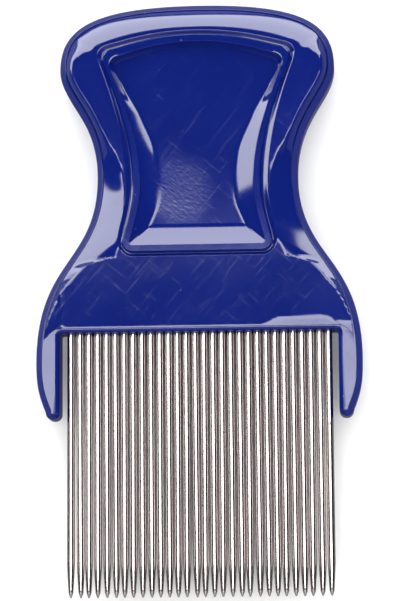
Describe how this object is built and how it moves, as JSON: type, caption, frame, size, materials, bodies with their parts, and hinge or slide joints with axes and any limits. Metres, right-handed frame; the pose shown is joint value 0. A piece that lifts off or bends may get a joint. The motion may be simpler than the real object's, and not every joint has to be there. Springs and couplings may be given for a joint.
{
  "type": "flea comb",
  "caption": "Fine-toothed pet grooming comb: a waisted blue plastic handle with a sunk finger dish on each face, guard fins, and a row of round steel pins set in its end.",
  "frame": {"origin": "centre of the footprint, on the plane that the lip of the lower face lies on", "axes": "+Y runs from the pin tips to the crown of the handle, +X across the row of pins, +Z out of the upper face"},
  "size_m": [0.0546, 0.1, 0.01],
  "materials": {
    "blue_plastic": "polished moulding",
    "pin_steel": "bright drawn wire"
  },
  "bodies": {
    "root": {"handle": "blue_plastic", "pin_01": "pin_steel", "pin_02": "pin_steel", "pin_03": "pin_steel", "pin_04": "pin_steel", "pin_05": "pin_steel", "pin_06": "pin_steel", "pin_07": "pin_steel", "pin_08": "pin_steel", "pin_09": "pin_steel", "pin_10": "pin_steel", "pin_11": "pin_steel", "pin_12": "pin_steel", "pin_13": "pin_steel", "pin_14": "pin_steel", "pin_15": "pin_steel", "pin_16": "pin_steel", "pin_17": "pin_steel", "pin_18": "pin_steel", "pin_19": "pin_steel", "pin_20": "pin_steel", "pin_21": "pin_steel", "pin_22": "pin_steel", "pin_23": "pin_steel", "pin_24": "pin_steel", "pin_25": "pin_steel", "pin_26": "pin_steel", "pin_27": "pin_steel", "pin_28": "pin_steel", "pin_29": "pin_steel", "pin_30": "pin_steel"}
  },
  "joints": []
}
